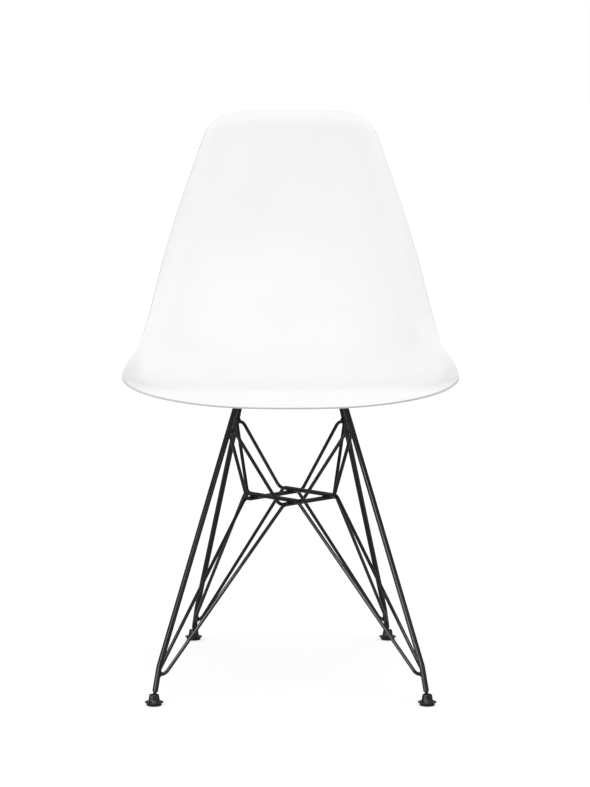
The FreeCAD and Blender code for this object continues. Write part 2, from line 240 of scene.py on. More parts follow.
def surfaceGroup():
    # fine grain and slow patches, shared by all the finishes
    group = bpy.data.node_groups.new("moulded surface", "ShaderNodeTree")
    for label in ("Grain Scale", "Patch Scale", "Roughness Low", "Roughness High"):
        group.interface.new_socket(label, in_out="INPUT", socket_type="NodeSocketFloat")
    for label in ("Tone", "Roughness", "Height"):
        group.interface.new_socket(label, in_out="OUTPUT", socket_type="NodeSocketFloat")
    groupIn = group.nodes.new("NodeGroupInput")
    groupOut = group.nodes.new("NodeGroupOutput")
    place = group.nodes.new("ShaderNodeTexCoord")
    grain = group.nodes.new("ShaderNodeTexNoise")
    grain.inputs["Detail"].default_value = surfaceLook["grainDetail"]
    grain.inputs["Roughness"].default_value = surfaceLook["grainRoughness"]
    patch = group.nodes.new("ShaderNodeTexNoise")
    patch.inputs["Detail"].default_value = surfaceLook["patchDetail"]
    rough = group.nodes.new("ShaderNodeMapRange")
    rough.inputs["From Min"].default_value = surfaceLook["roughnessSpan"][0]
    rough.inputs["From Max"].default_value = surfaceLook["roughnessSpan"][1]
    wire(group, (place, "Object", grain, "Vector"), (place, "Object", patch, "Vector"),
         (groupIn, "Grain Scale", grain, "Scale"), (groupIn, "Patch Scale", patch, "Scale"),
         (patch, "Fac", rough, "Value"), (groupIn, "Roughness Low", rough, "To Min"),
         (groupIn, "Roughness High", rough, "To Max"), (patch, "Fac", groupOut, "Tone"),
         (rough, "Result", groupOut, "Roughness"), (grain, "Fac", groupOut, "Height"))
    return group


surface = surfaceGroup()


def newFinish(name, look):
    material = bpy.data.materials.new(name)
    material.use_nodes = True
    tree = material.node_tree
    shader = tree.nodes["Principled BSDF"]
    node = tree.nodes.new("ShaderNodeGroup")
    node.node_tree = surface
    for label, value in (("Grain Scale", look["grainScale"]), ("Patch Scale", look["patchScale"]),
                         ("Roughness Low", look["roughness"][0]),
                         ("Roughness High", look["roughness"][1])):
        node.inputs[label].default_value = value
    colours = tree.nodes.new("ShaderNodeValToRGB")
    for element, position, tone in zip(colours.color_ramp.elements, surfaceLook["toneSpan"],
                                       ("darker", "lighter")):
        element.position = position
        element.color = (*look[tone], 1)
    bump = tree.nodes.new("ShaderNodeBump")
    bump.inputs["Strength"].default_value = look["bump"]
    bump.inputs["Distance"].default_value = look["depth"]
    wire(tree, (node, "Tone", colours, "Fac"), (colours, "Color", shader, "Base Color"),
         (node, "Roughness", shader, "Roughness"), (node, "Height", bump, "Height"),
         (bump, "Normal", shader, "Normal"))
    for label, value in look.get("shader", {}).items():
        shader.inputs[label].default_value = value
    return material


finishes = {
    "shellWhite": {  # satin polypropylene with a fine spark texture
        "darker": (0.915, 0.915, 0.912), "lighter": (0.930, 0.930, 0.928),
        "roughness": (0.33, 0.42), "grainScale": 1500.0, "patchScale": 9.0,
        "bump": 0.12, "depth": 0.0002, "shader": {"Specular IOR Level": 0.42},
    },
    "wireBlack": {  # semi gloss powder coat with a slight orange peel
        "darker": (0.0060, 0.0060, 0.0064), "lighter": (0.0095, 0.0095, 0.0100),
        "roughness": (0.14, 0.22), "grainScale": 700.0, "patchScale": 45.0,
        "bump": 0.03, "depth": 0.0003,
    },
    "barBlack": {
        "darker": (0.0085, 0.0085, 0.0090), "lighter": (0.0140, 0.0140, 0.0145),
        "roughness": (0.32, 0.48), "grainScale": 600.0, "patchScale": 40.0,
        "bump": 0.25, "depth": 0.0004,
    },
    "screwZinc": {
        "darker": (0.42, 0.43, 0.44), "lighter": (0.58, 0.59, 0.60),
        "roughness": (0.22, 0.40), "grainScale": 2500.0, "patchScale": 260.0,
        "bump": 0.10, "depth": 0.0001, "shader": {"Metallic": 1.0},
    },
    "ballSteel": {
        "darker": (0.030, 0.030, 0.031), "lighter": (0.055, 0.055, 0.057),
        "roughness": (0.20, 0.34), "grainScale": 2200.0, "patchScale": 300.0,
        "bump": 0.08, "depth": 0.0001, "shader": {"Metallic": 1.0},
    },
    "insertBrass": {
        "darker": (0.60, 0.42, 0.16), "lighter": (0.74, 0.54, 0.24),
        "roughness": (0.25, 0.42), "grainScale": 2400.0, "patchScale": 320.0,
        "bump": 0.12, "depth": 0.0001, "shader": {"Metallic": 1.0},
    },
    "mountRubber": {
        "darker": (0.012, 0.012, 0.012), "lighter": (0.024, 0.023, 0.022),
        "roughness": (0.62, 0.80), "grainScale": 1300.0, "patchScale": 160.0,
        "bump": 0.35, "depth": 0.0003,
    },
    "bootNylon": {
        "darker": (0.010, 0.010, 0.010), "lighter": (0.017, 0.017, 0.017),
        "roughness": (0.28, 0.40), "grainScale": 1700.0, "patchScale": 220.0,
        "bump": 0.15, "depth": 0.0002,
    },
    "solePlastic": {
        "darker": (0.011, 0.011, 0.012), "lighter": (0.020, 0.020, 0.020),
        "roughness": (0.42, 0.58), "grainScale": 1500.0, "patchScale": 200.0,
        "bump": 0.30, "depth": 0.0003,
    },
}
made = {name: newFinish(name, look) for name, look in finishes.items()}
print("finishes made:", len(made))


def wear(piece, finish):
    piece.data.materials.clear()
    piece.data.materials.append(made[finish])


# seat shell: rising flanges and a rolled lip over one centre line, sizes in millimetres

shell = {
    "panHeight": 422.5,
    "wall": 5.0,
    "seatProfile": [(0, 23.5), (60, 21), (140, 12.5), (220, 4), (290, 0.5), (345, 7.5)],
    "backProfile": [(390, 30.5), (420, 70.5), (440, 122.5), (460, 190.5), (480, 259.5),
                    (498, 322.5), (515, 387)],
    "frontOutline": [(0, 0), (80, 4), (145, 20), (197, 51), (221, 94), (233, 145)],
    "sideOutline": [(236.5, 195), (235.5, 251), (230.5, 296), (222, 341), (216, 386), (207.8, 440),
                    (198, 490), (185, 545), (168.2, 605), (148.8, 668), (136.3, 708), (127.5, 738)],
    "topOutline": [(117.5, 759), (99, 772.4), (66, 777.5), (0, 778.5)],
    "flangeRise": [(0, 2), (60, 5), (140, 15), (222, 30), (292, 44), (347, 55), (398, 60),
                   (448, 58), (504, 53), (574, 46), (646, 36), (712, 23), (778.5, 13)],
    "flangeSharpness": [(0, 2.2), (60, 2.2), (140, 2.4), (222, 2.8), (292, 3), (398, 3.6),
                        (520, 5), (646, 5.5), (778.5, 5.5)],
    "lipWidth": [(0, 36), (60, 34), (140, 30), (222, 26), (347, 29), (448, 32), (574, 30),
                 (712, 20), (778.5, 18)],
    "lipCurl": [(0, 2.0), (145, 1.7), (300, 1.45), (600, 1.4), (778.5, 1.6)],
    "lipDrop": [(0, 23.4), (8, 21.5), (20, 17.9), (45, 11.2), (75, 7.1), (110, 4.5), (145, 3.8),
                (200, 6), (292, 9), (347, 12), (398, 15), (520, 16), (600, 14), (712, 9), (778.5, 8)],
    "middle": 390.0,
    "rays": 96,
    "fromRim": [0, 3, 7, 12, 18, 25, 33, 43, 56],
    "toMiddle": [0.82, 0.64, 0.48],
    "edgeRound": 1.0,
    "levels": 2,
}


def smoothCurve(places, values, closed=False):
    # cubic curve through the values, as a function of the place along it
    x = np.array(places, float)
    y = np.array(values, float).reshape(len(x), -1)
    gap = np.diff(x)
    slope = np.diff(y, axis=0) / gap[:, None]
    count = len(x)
    matrix = np.zeros((count, count))
    right = np.zeros_like(y)
    for i in range(1, count - 1):
        matrix[i, i - 1:i + 2] = gap[i], 2 * (gap[i - 1] + gap[i]), gap[i - 1]
        right[i] = 3 * (gap[i] * slope[i - 1] + gap[i - 1] * slope[i])
    if closed:
        matrix[0, [0, 1, -2]] = 2 * (gap[-1] + gap[0]), gap[-1], gap[0]
        right[0] = 3 * (gap[0] * slope[-1] + gap[-1] * slope[0])
        matrix[-1, [0, -1]] = 1, -1
    else:
        for row, part in ((0, slice(0, 4)), (count - 1, slice(count - 4, count))):
            matrix[row, row] = 1
            for axis in range(y.shape[1]):
                right[row, axis] = np.polyfit(x[part] - x[row], y[part, axis], 3)[-2]
    ends = np.linalg.solve(matrix, right)

    def at(place, slopeOnly=False):
        t = np.clip(np.asarray(place, float), x[0], x[-1])
        i = np.clip(np.searchsorted(x, t, side="right") - 1, 0, count - 2)
        h = gap[i][:, None]
        u = ((t - x[i]) / gap[i])[:, None]
        if slopeOnly:
            return ((6 * u * u - 6 * u) * (y[i] - y[i + 1]) / h + (3 * u * u - 4 * u + 1) * ends[i]
                    + (3 * u * u - 2 * u) * ends[i + 1])
        return ((2 * u ** 3 - 3 * u * u + 1) * y[i] + (u ** 3 - 2 * u * u + u) * h * ends[i]
                + (3 * u * u - 2 * u ** 3) * y[i + 1] + (u ** 3 - u * u) * h * ends[i + 1])

    return at


def alongLengths(points):
    steps = np.linalg.norm(np.diff(np.array(points, float), axis=0), axis=1)
    return np.concatenate([[0.0], np.cumsum(steps)])


def bySize(stations):
    curve = smoothCurve([s for s, value in stations], [value for s, value in stations])
    return lambda s: curve(s)[:, 0]


profile = [(run - 275, shell["panHeight"] + rise)
           for run, rise in shell["seatProfile"] + shell["backProfile"]]
profileLengths = alongLengths(profile)
centreLine = smoothCurve(profileLengths, profile)
rightOutline = shell["frontOutline"] + shell["sideOutline"] + shell["topOutline"]
wholeOutline = rightOutline + [(-half, s) for half, s in reversed(rightOutline[1:-1])]
wholeOutline.append(wholeOutline[0])
outlineLengths = alongLengths(wholeOutline)
outline = smoothCurve(outlineLengths, wholeOutline, closed=True)
rim = outline(np.linspace(0, outlineLengths[-1], 4 * shell["rays"] + 1))
sideHalves = shell["frontOutline"][4:] + shell["sideOutline"] + shell["topOutline"][:1]
halfWidth = bySize([(s, half) for half, s in sideHalves])
flangeRise = bySize(shell["flangeRise"])
flangeSharpness = bySize(shell["flangeSharpness"])
lipWidth = bySize(shell["lipWidth"])
lipDrop = bySize(shell["lipDrop"])
lipCurl = bySize(shell["lipCurl"])


def rimDistance(x, s):
    best = np.full(len(x), 1e9)
    for start, end in zip(rim[:-1], rim[1:]):
        dx, dy = end - start
        t = np.clip(((x - start[0]) * dx + (s - start[1]) * dy) / (dx * dx + dy * dy), 0, 1)
        best = np.minimum(best, np.hypot(x - start[0] - t * dx, s - start[1] - t * dy))
    return best


def shellPoint(flat):
    # upper face of the shell over flattened points (x, along the centre line)
    x, s = flat[:, 0], flat[:, 1]
    along = np.clip(s, 0, profileLengths[-1])
    place = centreLine(along)
    tangent = centreLine(along, True)
    tangent /= np.linalg.norm(tangent, axis=1)[:, None]
    share = np.abs(x) / halfWidth(along)
    height = flangeRise(along) * share ** flangeSharpness(along)
    inside = np.clip(1 - rimDistance(x, s) / lipWidth(along), 0, None)
    height -= lipDrop(along) * inside ** lipCurl(along)
    beyond = (s - along)[:, None] * tangent
    lifted = height[:, None] * np.stack([-tangent[:, 1], tangent[:, 0]], axis=1)
    return np.column_stack([x, place + beyond + lifted])


def shellNormal(flat):
    across = shellPoint(flat + [1.0, 0]) - shellPoint(flat - [1.0, 0])
    along = shellPoint(flat + [0, 1.0]) - shellPoint(flat - [0, 1.0])
    normal = np.cross(across, along)
    return normal / np.linalg.norm(normal, axis=1)[:, None]


def flatNet():
    # rings from the rim inwards, then a square patch in the middle, all on the flattened shell
    count = shell["rays"]
    start = outline(outlineLengths[-1] * np.arange(count) / count)
    middle = np.array([0.0, shell["middle"]])
    reach = np.linalg.norm(middle - start, axis=1)[:, None]
    inward = (middle - start) / reach
    rings = [start + inward * (distance + shell["edgeRound"]) for distance in shell["fromRim"]]
    rest = reach - shell["fromRim"][-1] - shell["edgeRound"]
    rings += [middle - inward * rest * share for share in shell["toMiddle"]]
    side = count // 4
    first = -side // 2

    def pick(k):
        return rings[-1][k % count]

    patch = np.zeros((side + 1, side + 1, 2))
    for i in range(side + 1):
        for j in range(side + 1):
            u, v = i / side, j / side
            low, high = pick(first + i), pick(first + 3 * side - i)
            left, right = pick(first + 4 * side - j), pick(first + side + j)
            edges = (1 - v) * low + v * high + (1 - u) * left + u * right
            ends = ((1 - u) * (1 - v) * pick(first) + u * (1 - v) * pick(first + side)
                    + u * v * pick(first + 2 * side) + (1 - u) * v * pick(first + 3 * side))
            patch[i, j] = edges - ends
    return rings, patch


def buildShell():
    rings, patch = flatNet()
    count, side = shell["rays"], shell["rays"] // 4
    inner = patch[1:-1, 1:-1].reshape(-1, 2)
    flat = np.concatenate(rings + [inner])
    upper = shellPoint(flat)
    lower = upper - shellNormal(flat) * shell["wall"]
    outward = sum((face[:count] - face[count:2 * count])
                  / np.linalg.norm(face[:count] - face[count:2 * count], axis=1)[:, None]
                  for face in (upper, lower))
    outward /= np.linalg.norm(outward, axis=1)[:, None]
    proud = outward * shell["edgeRound"]
    down = lower[:count] - upper[:count]
    down *= shell["edgeRound"] / np.linalg.norm(down, axis=1)[:, None]
    edgeRows = [upper[:count] + proud, upper[:count] + proud + down,
                lower[:count] + proud - down, lower[:count] + proud]
    points = np.concatenate([upper, lower] + edgeRows)
    faces = []
    first = -side // 2
    innerStart = len(rings) * count
    ringStart = (len(rings) - 1) * count

    def patchIndex(i, j):
        if j == 0:
            return ringStart + (first + i) % count
        if j == side:
            return ringStart + (first + 3 * side - i) % count
        if i == 0:
            return ringStart + (first + 4 * side - j) % count
        if i == side:
            return ringStart + (first + side + j) % count
        return innerStart + (i - 1) * (side - 1) + (j - 1)

    for offset in (0, len(upper)):
        for ring in range(len(rings) - 1):
            faces += stripFaces(offset + ring * count, offset + (ring + 1) * count, count)
        for i in range(side):
            for j in range(side):
                faces.append(tuple(offset + patchIndex(*corner) for corner in
                                   ((i, j), (i + 1, j), (i + 1, j + 1), (i, j + 1))))
    edge = 2 * len(upper)
    rowStarts = [0] + [edge + row * count for row in range(len(edgeRows))] + [len(upper)]
    for low, high in zip(rowStarts, rowStarts[1:]):
        faces += stripFaces(low, high, count)
    mesh = meshFrom("seat_shell_skin", points * mm, faces)
    turnOutwards(mesh)
    piece = newPiece("seat_shell_skin", mesh)
    smoothing = piece.modifiers.new("smooth skin", "SUBSURF")
    smoothing.levels = shell["levels"]
    smoothing.render_levels = shell["levels"]
    settle(piece)
    front = min(v.co.y for v in piece.data.vertices)
    piece.data.transform(Matrix.Translation((0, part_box("seat_shell")[0].y - front, 0)))
    return piece


# base: where the legs stand and the bars and mounts meet, in millimetres

base = {
    "frontTop": (77.1, -51.8), "frontBend": (182.0, -192.0), "frontGlide": (188.7, -203.0),
    "backTop": (70.4, 88.6), "backBend": (142.5, 248.5), "backGlide": (148.3, 262.0),
    "barBottom": 399.0, "bendHeight": 52.0, "ballHeight": 11.3,
    "mountInset": 26.0, "bossBottom": 411.0,
}


def legPoints(side, front):
    row = "front" if front else "back"
    heights = {"Top": base["barBottom"], "Bend": base["bendHeight"], "Glide": base["ballHeight"]}
    return [Vector((side * base[row + end][0], base[row + end][1], height))
            for end, height in heights.items()]


def mountPlace(side, front):
    start = legPoints(side, front)[0]
    end = legPoints(-side, not front)[0]
    return start + (end - start).normalized() * base["mountInset"]


# bosses and gate mark on the underside of the shell

boss = {
    "radius": 12.0, "edge": 0.8, "holeRadius": 4.5, "holeDepth": 10.3, "holeEdge": 0.4,
    "insertDepth": 7, "pilotTaper": (0.7, 0.72), "filletRadius": 3.5, "filletSteps": 6,
    "rootSpread": 0.6, "rootSink": (0.8, 2.0), "searchFrom": 200, "sides": 48, "sharpAngle": 50,
}
gateMark = {"radius": 7.0, "height": 0.7, "nubRadius": 1.6, "nubHeight": 1.3, "y": 18.0}


def mouldedOn(skin, name, centre, rows):
    # turned form whose rows stand at a height, or at a distance above the shell's underside
    tree = BVHTree.FromObject(skin, bpy.context.evaluated_depsgraph_get())
    shape = []
    for radius, height, fromWall in rows:
        row = []
        for k in range(boss["sides"]):
            turn = math.tau * k / boss["sides"]
            x = centre.x + radius * math.cos(turn)
            y = centre.y + radius * math.sin(turn)
            z = height
            if fromWall:
                start = Vector((x * mm, y * mm, boss["searchFrom"] * mm))
                z = tree.ray_cast(start, Vector((0, 0, 1)))[0].z / mm + height
            row.append(Vector((x, y, z)) * mm)
        shape.append(row)
    return rowsMesh(name, shape)


def bossRows():
    low, radius, edge = base["bossBottom"], boss["radius"], boss["edge"]
    hole, broken, fillet = boss["holeRadius"], boss["holeEdge"], boss["filletRadius"]
    top, insertTop = low + boss["holeDepth"], low + boss["insertDepth"]
    narrow, wide = boss["pilotTaper"]
    rows = [(0, top, False), (hole * narrow, top, False), (hole * wide, insertTop, False),
            (hole, insertTop, False), (hole, low + broken, False), (hole + broken, low, False),
            (radius - edge, low, False), (radius - edge * 0.3, low + edge * 0.3, False),
            (radius, low + edge, False)]
    for k in range(boss["filletSteps"]):
        turn = math.radians(90 / boss["filletSteps"] * k)
        rows.append((radius + fillet * (1 - math.cos(turn)), -fillet * (1 - math.sin(turn)), True))
    nearRoot, deepRoot = boss["rootSink"]
    rows += [(radius + fillet + boss["rootSpread"], nearRoot, True), (0, deepRoot, True)]
    return rows


def gateRows():
    disc, high = gateMark["radius"], gateMark["height"]
    nub, nubEnd = gateMark["nubRadius"], -gateMark["nubHeight"]
    rows = [(0, nubEnd), (nub * 0.8, nubEnd), (nub, nubEnd + 0.3), (nub + 0.2, -high * 0.4),
            (disc - 1.2, -high * 0.4), (disc - 0.8, -high), (disc, -high), (disc + 0.6, 0.3),
            (0, 1.0)]
    return [(radius, height, True) for radius, height in rows]


skin = buildShell()
undersides = []
for side, front in legCorners.values():
    undersides.append(mouldedOn(skin, "boss", mountPlace(side, front), bossRows()))
undersides.append(mouldedOn(skin, "gate", Vector((0, gateMark["y"], 0)), gateRows()))
smoothShade(skin.data)
for mesh in undersides:
    smoothShade(mesh, boss["sharpAngle"])
skin.data = joinMeshes("seat_shell_skin", [skin.data] + undersides)
wear(skin, "shellWhite")
standFor(skin, "chair", "shell", "seat_shell")
print("shell built,", len(skin.data.polygons), "faces")


# bent rods: legs and wire loops swept along their own paths

rods = {
    "legRadius": 4.0, "legBend": 40.0, "legPastTop": 2.0, "legFromBall": 8.0,
    "tipLength": 0.5, "tipGirth": 0.86,
    "wireRadius": 2.5, "hairpinRadius": 8.0, "cornerRadius": 13.0, "weldSink": 0.15,
    "ringY": 18.0, "ringHeight": 259.0,
    "upperCorner": (62.5, 68.0, 16.0), "lowerCorner": (66.0, 70.0, 10.0),
    "upperWeldBelowTop": (33.0, 40.0), "lowerWeldHeight": (43.0, 35.0),
    "bendSteps": 14, "roundSides": 24, "sharpAngle": 40,
}


def rodTree():
    tree, groupIn, groupOut = newTree("bent rod", [
        ("Rod Radius", "NodeSocketFloat"), ("Bend Steps", "NodeSocketInt"),
        ("Round Sides", "NodeSocketInt"), ("Material", "NodeSocketMaterial")])
    toCurve = tree.nodes.new("GeometryNodeMeshToCurve")
    fillet = tree.nodes.new("GeometryNodeFilletCurve")
    fillet.mode = "POLY"
    girth = tree.nodes.new("GeometryNodeSetCurveRadius")
    circle = tree.nodes.new("GeometryNodeCurvePrimitiveCircle")
    sweep = tree.nodes.new("GeometryNodeCurveToMesh")
    sweep.inputs["Fill Caps"].default_value = True
    wire(tree, (groupIn, "Geometry", toCurve, "Mesh"), (toCurve, "Curve", fillet, "Curve"),
         (groupIn, "Bend Steps", fillet, "Count"),
         (namedAttribute(tree, "bendRadius", "FLOAT"), "Attribute", fillet, "Radius"),
         (fillet, "Curve", girth, "Curve"),
         (namedAttribute(tree, "girth", "FLOAT"), "Attribute", girth, "Radius"),
         (groupIn, "Rod Radius", circle, "Radius"), (groupIn, "Round Sides", circle, "Resolution"),
         (girth, "Curve", sweep, "Curve"), (circle, "Curve", sweep, "Profile Curve"))
    finishTree(tree, sweep, "Mesh", groupIn, groupOut)
    return tree


bentRod = rodTree()


def sweepRod(name, points, bends, girths, radius, closed):
    count = len(points)
    edges = [(k, k + 1) for k in range(count - 1)] + ([(count - 1, 0)] if closed else [])
    mesh = markedPoints(name + "_path", [p * mm for p in points], {
        "bendRadius": [b * mm for b in bends], "girth": girths}, edges)
    piece = growPiece(name, mesh, bentRod, {
        "Rod Radius": radius * mm, "Bend Steps": rods["bendSteps"],
        "Round Sides": rods["roundSides"], "Material": made["wireBlack"]})
    turnOutwards(piece.data)
    smoothShade(piece.data, rods["sharpAngle"])
    return piece


for corner, (side, front) in legCorners.items():
    top, bend, foot = legPoints(side, front)
    up = (top - bend).normalized()
    toBall = (foot - bend).normalized()
    high = top + up * rods["legPastTop"]
    low = foot - toBall * rods["legFromBall"]
    points = [high, bend, low - toBall * rods["tipLength"], low]
    leg = sweepRod("leg_" + corner + "_rod", points, [0, rods["legBend"], 0, 0],
                   [1, 1, 1, rods["tipGirth"]], rods["legRadius"], False)
    standFor(leg, "chair", "wire", "leg_" + corner)


def ringCorner(kind, side, front, atSide):
    reachX, reachY, offset = rods[kind + "Corner"]
    above = (side > 0) == front
    z = rods["ringHeight"] + (rods["wireRadius"] if above else -rods["wireRadius"])
    row = -1 if front else 1
    if atSide:
        return Vector((side * reachX, rods["ringY"] + row * offset, z))
    return Vector((side * offset, rods["ringY"] + row * reachY, z))


def hairpinWeld(kind, side, front):
    # middle of the hairpin, and the leg's direction there
    top, bend, foot = legPoints(side, front)
    height = rods["lowerWeldHeight"][0 if front else 1]
    if kind == "upper":
        height = top.z - rods["upperWeldBelowTop"][0 if front else 1]
    low, high = (bend, top) if height > bend.z else (foot, bend)
    onLeg = low.lerp(high, (height - low.z) / (high.z - low.z))
    along = (high - low).normalized()
    inward = Vector((0, rods["ringY"], height)) - onLeg
    inward -= along * inward.dot(along)
    inward.normalize()
    apart = rods["legRadius"] + rods["wireRadius"] - rods["weldSink"]
    return onLeg + inward * apart, along, inward


def hairpinVertex(apex, first, second):
    # corner of the unbent path, found in small steps, that puts the bent wire on the weld
    outward = (apex - (first + second) / 2).normalized()
    extra = rods["hairpinRadius"]
    for _ in range(40):
        vertex = apex + outward * extra
        half = (first - vertex).angle(second - vertex) / 2
        extra = rods["hairpinRadius"] * (1 / math.sin(half) - 1)
    return vertex


loopPaths = {}
for kind in ("upper", "lower"):
    for start, end in (("front_left", "back_right"), ("front_right", "back_left")):
        points, bends = [], []
        for corner in (start, end):
            side, front = legCorners[corner]
            first = ringCorner(kind, side, front, True)
            second = ringCorner(kind, side, front, False)
            apex = hairpinWeld(kind, side, front)[0]
            points += [first, hairpinVertex(apex, first, second), second]
            bends += [rods["cornerRadius"], rods["hairpinRadius"], rods["cornerRadius"]]
        name = kind + "_loop_" + start
        loop = sweepRod(name, points, bends, [1.0] * 6, rods["wireRadius"], True)
        standFor(loop, "chair", "wire", kind + "_brace_" + start, kind + "_brace_" + end)
        loopPaths[name] = points
print("legs and wire loops swept")


# weld beads where the rods meet, drawn as small fillets of weld metal

welds = {
    "hairpinBead": (1.3, 1.3, 3.8), "hairpinSpread": 2.4, "hairpinSink": (0.3, 0.4),
    "crossingBead": (2.3, 2.3, 2.0),
    "topBeads": 16, "topRadius": 4.7, "topBead": (1.5, 1.5, 1.2), "topSink": 0.2,
    "sizeSpan": (0.88, 1.08), "seed": 4, "subdivisions": 3,
}


def beadTree():
    tree, groupIn, groupOut = newTree("weld beads", [("Seed", "NodeSocketInt"),
                                                     ("Material", "NodeSocketMaterial")])
    bead = tree.nodes.new("GeometryNodeMeshIcoSphere")
    bead.inputs["Subdivisions"].default_value = welds["subdivisions"]
    vary = tree.nodes.new("FunctionNodeRandomValue")
    vary.inputs[2].default_value, vary.inputs[3].default_value = welds["sizeSpan"]
    scale = tree.nodes.new("ShaderNodeVectorMath")
    scale.operation = "SCALE"
    align = tree.nodes.new("FunctionNodeAlignRotationToVector")
    align.axis = "Z"
    place = tree.nodes.new("GeometryNodeInstanceOnPoints")
    wire(tree, (groupIn, "Seed", vary, "Seed"),
         (namedAttribute(tree, "beadSize", "FLOAT_VECTOR"), "Attribute", scale, 0),
         (vary, 1, scale, "Scale"),
         (namedAttribute(tree, "beadAxis", "FLOAT_VECTOR"), "Attribute", align, "Vector"),
         (groupIn, "Geometry", place, "Points"), (bead, "Mesh", place, "Instance"),
         (align, "Rotation", place, "Rotation"), (scale, "Vector", place, "Scale"))
    finishTree(tree, place, "Instances", groupIn, groupOut)
    return tree


beads = []  # place, axis, size
for side, front in legCorners.values():
    top, bend, foot = legPoints(side, front)
    for kind in ("upper", "lower"):
        apex, along, inward = hairpinWeld(kind, side, front)
        past, back = welds["hairpinSink"]
        touch = apex - inward * (rods["wireRadius"] + past)
        across = along.cross(inward)
        for way in (-1, 1):
            place = touch + across * way * welds["hairpinSpread"] + inward * back
            beads.append((place, along, welds["hairpinBead"]))
    for k in range(welds["topBeads"]):
        turn = math.tau * k / welds["topBeads"]
        around = Vector((math.cos(turn), math.sin(turn), 0)) * welds["topRadius"]
        place = top + around - Vector((0, 0, welds["topSink"]))
        beads.append((place, Vector((0, 0, 1)), welds["topBead"]))


def ringRuns(name):
    # the straight runs of a loop that lie in the ring
    points = loopPaths[name]
    return [(points[2], points[3]), (points[5], points[0])]


def planCrossing(a, b, c, d):
    # where two runs cross in plan, if they do
    run, other, gap = b - a, d - c, c - a
    cross = run.x * other.y - run.y * other.x
    if abs(cross) < 1e-6:
        return None
    t = (gap.x * other.y - gap.y * other.x) / cross
    u = (gap.x * run.y - gap.y * run.x) / cross
    return a.lerp(b, t) if 0 < t < 1 and 0 < u < 1 else None


for low in (n for n in loopPaths if n.endswith("front_left")):
    for high in (n for n in loopPaths if n.endswith("front_right")):
        for a, b in ringRuns(low):
            for c, d in ringRuns(high):
                crossing = planCrossing(a, b, c, d)
                if crossing:
                    place = Vector((crossing.x, crossing.y, rods["ringHeight"]))
                    beads.append((place, Vector((0, 0, 1)), welds["crossingBead"]))

cloud = markedPoints("weld_places", [p * mm for p, axis, size in beads], {
    "beadAxis": [axis for p, axis, size in beads],
    "beadSize": [[x * mm for x in size] for p, axis, size in beads]})
weldBeads = growPiece("weld_beads", cloud, beadTree(), {
    "Seed": welds["seed"], "Material": made["wireBlack"]})
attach(weldBeads, "chair")
print("welds laid:", len(beads))


# glides: slotted boot over a ball, and a sole pressed on below, in millimetres

glide = {
    "ballRadius": 5.0, "ballArc": 150, "ballSteps": 13, "clearance": 0.2,
    "collarBase": 8.1, "collarTop": 6.6, "collarFoot": 6.6, "collarHeight": 15.5, "collarEdge": 0.35,
    "slots": 6, "slotWidth": 1.2, "slotFloor": 9.0, "mouthHeight": 13.7, "mouthFlare": 35.0,
    "fingerSink": 0.6, "fingerLevels": (10.0, 11.3, 12.6), "fingerRounding": 0.22, "fingerSteps": 8,
    "cupSteps": 6, "sides": 72, "neckSides": 48, "sharpAngle": 38,
    "bootOutline": [(0, 1.5), (6.7, 1.5), (7.0, 1.8), (7.0, 3.5), (10.4, 3.5), (11.6, 3.7), (12.5, 4.1),
                    (12.85, 4.4), (13.0, 4.8), (12.9, 5.2), (12.6, 5.45), (11.8, 5.5), (10.6, 5.55),
                    (9.5, 5.75), (8.8, 6.1), (8.35, 6.5), (8.05, 7.1)],
    "soleOutline": [(0, 0.35), (5.6, 0.35), (5.9, 0.1), (6.1, 0.0), (7.6, 0.0), (7.8, 0.2), (8.1, 0.2),
                    (8.3, 0.0), (9.5, 0.0), (10.0, 0.25), (10.35, 0.7), (10.5, 1.3), (10.5, 2.2),
                    (10.3, 2.35), (10.3, 2.6), (10.5, 2.75), (10.5, 3.2), (10.3, 3.5), (7.1, 3.5),
                    (7.05, 3.3), (7.05, 1.5), (0, 1.5)],
    "neckOutline": [(2.62, 4.45), (2.5, 4.9), (2.5, 7.2), (2.9, 7.6), (3.0, 8.05), (2.0, 8.4),
                    (2.0, 12.0), (0, 12.0)],
}


def collarRadius(z):
    share = (z - glide["collarFoot"]) / (glide["collarHeight"] - glide["collarFoot"])
    return glide["collarBase"] + (glide["collarTop"] - glide["collarBase"]) * share


def socketRadius(z):
    ball = glide["ballRadius"] + glide["clearance"]
    if z <= glide["mouthHeight"]:
        return math.sqrt(ball ** 2 - (z - base["ballHeight"]) ** 2)
    mouth = math.sqrt(ball ** 2 - (glide["mouthHeight"] - base["ballHeight"]) ** 2)
    return mouth + (z - glide["mouthHeight"]) * math.tan(math.radians(glide["mouthFlare"]))


def fingerMesh():
    # one finger of the slotted collar, with its middle on +X
    floor, top, steps = glide["slotFloor"], glide["collarHeight"], glide["fingerSteps"]
    levels = [floor - glide["fingerSink"], floor, *glide["fingerLevels"], glide["mouthHeight"],
              top - 1.0, top - 0.5, top]
    rows = []
    for z in levels:
        outer = collarRadius(z) - (glide["collarEdge"] if z == top else 0)
        inner = socketRadius(max(z, floor))
        row = []
        for radius, order in ((outer, range(steps + 1)), (inner, range(steps, -1, -1))):
            half = math.pi / glide["slots"] - math.asin(glide["slotWidth"] / 2 / radius)
            for k in order:
                row.append(polar(radius, half * (2 * k / steps - 1), z) * mm)
        rows.append(row)
    count = len(rows[0])
    points = [p for row in rows for p in row]
    faces = [tuple(range(count)), tuple(range(len(points) - count, len(points)))]
    for ring in range(len(rows) - 1):
        faces += stripFaces(ring * count, (ring + 1) * count, count)
    mesh = meshFrom("collar_finger", points, faces)
    turnOutwards(mesh)
    return mesh


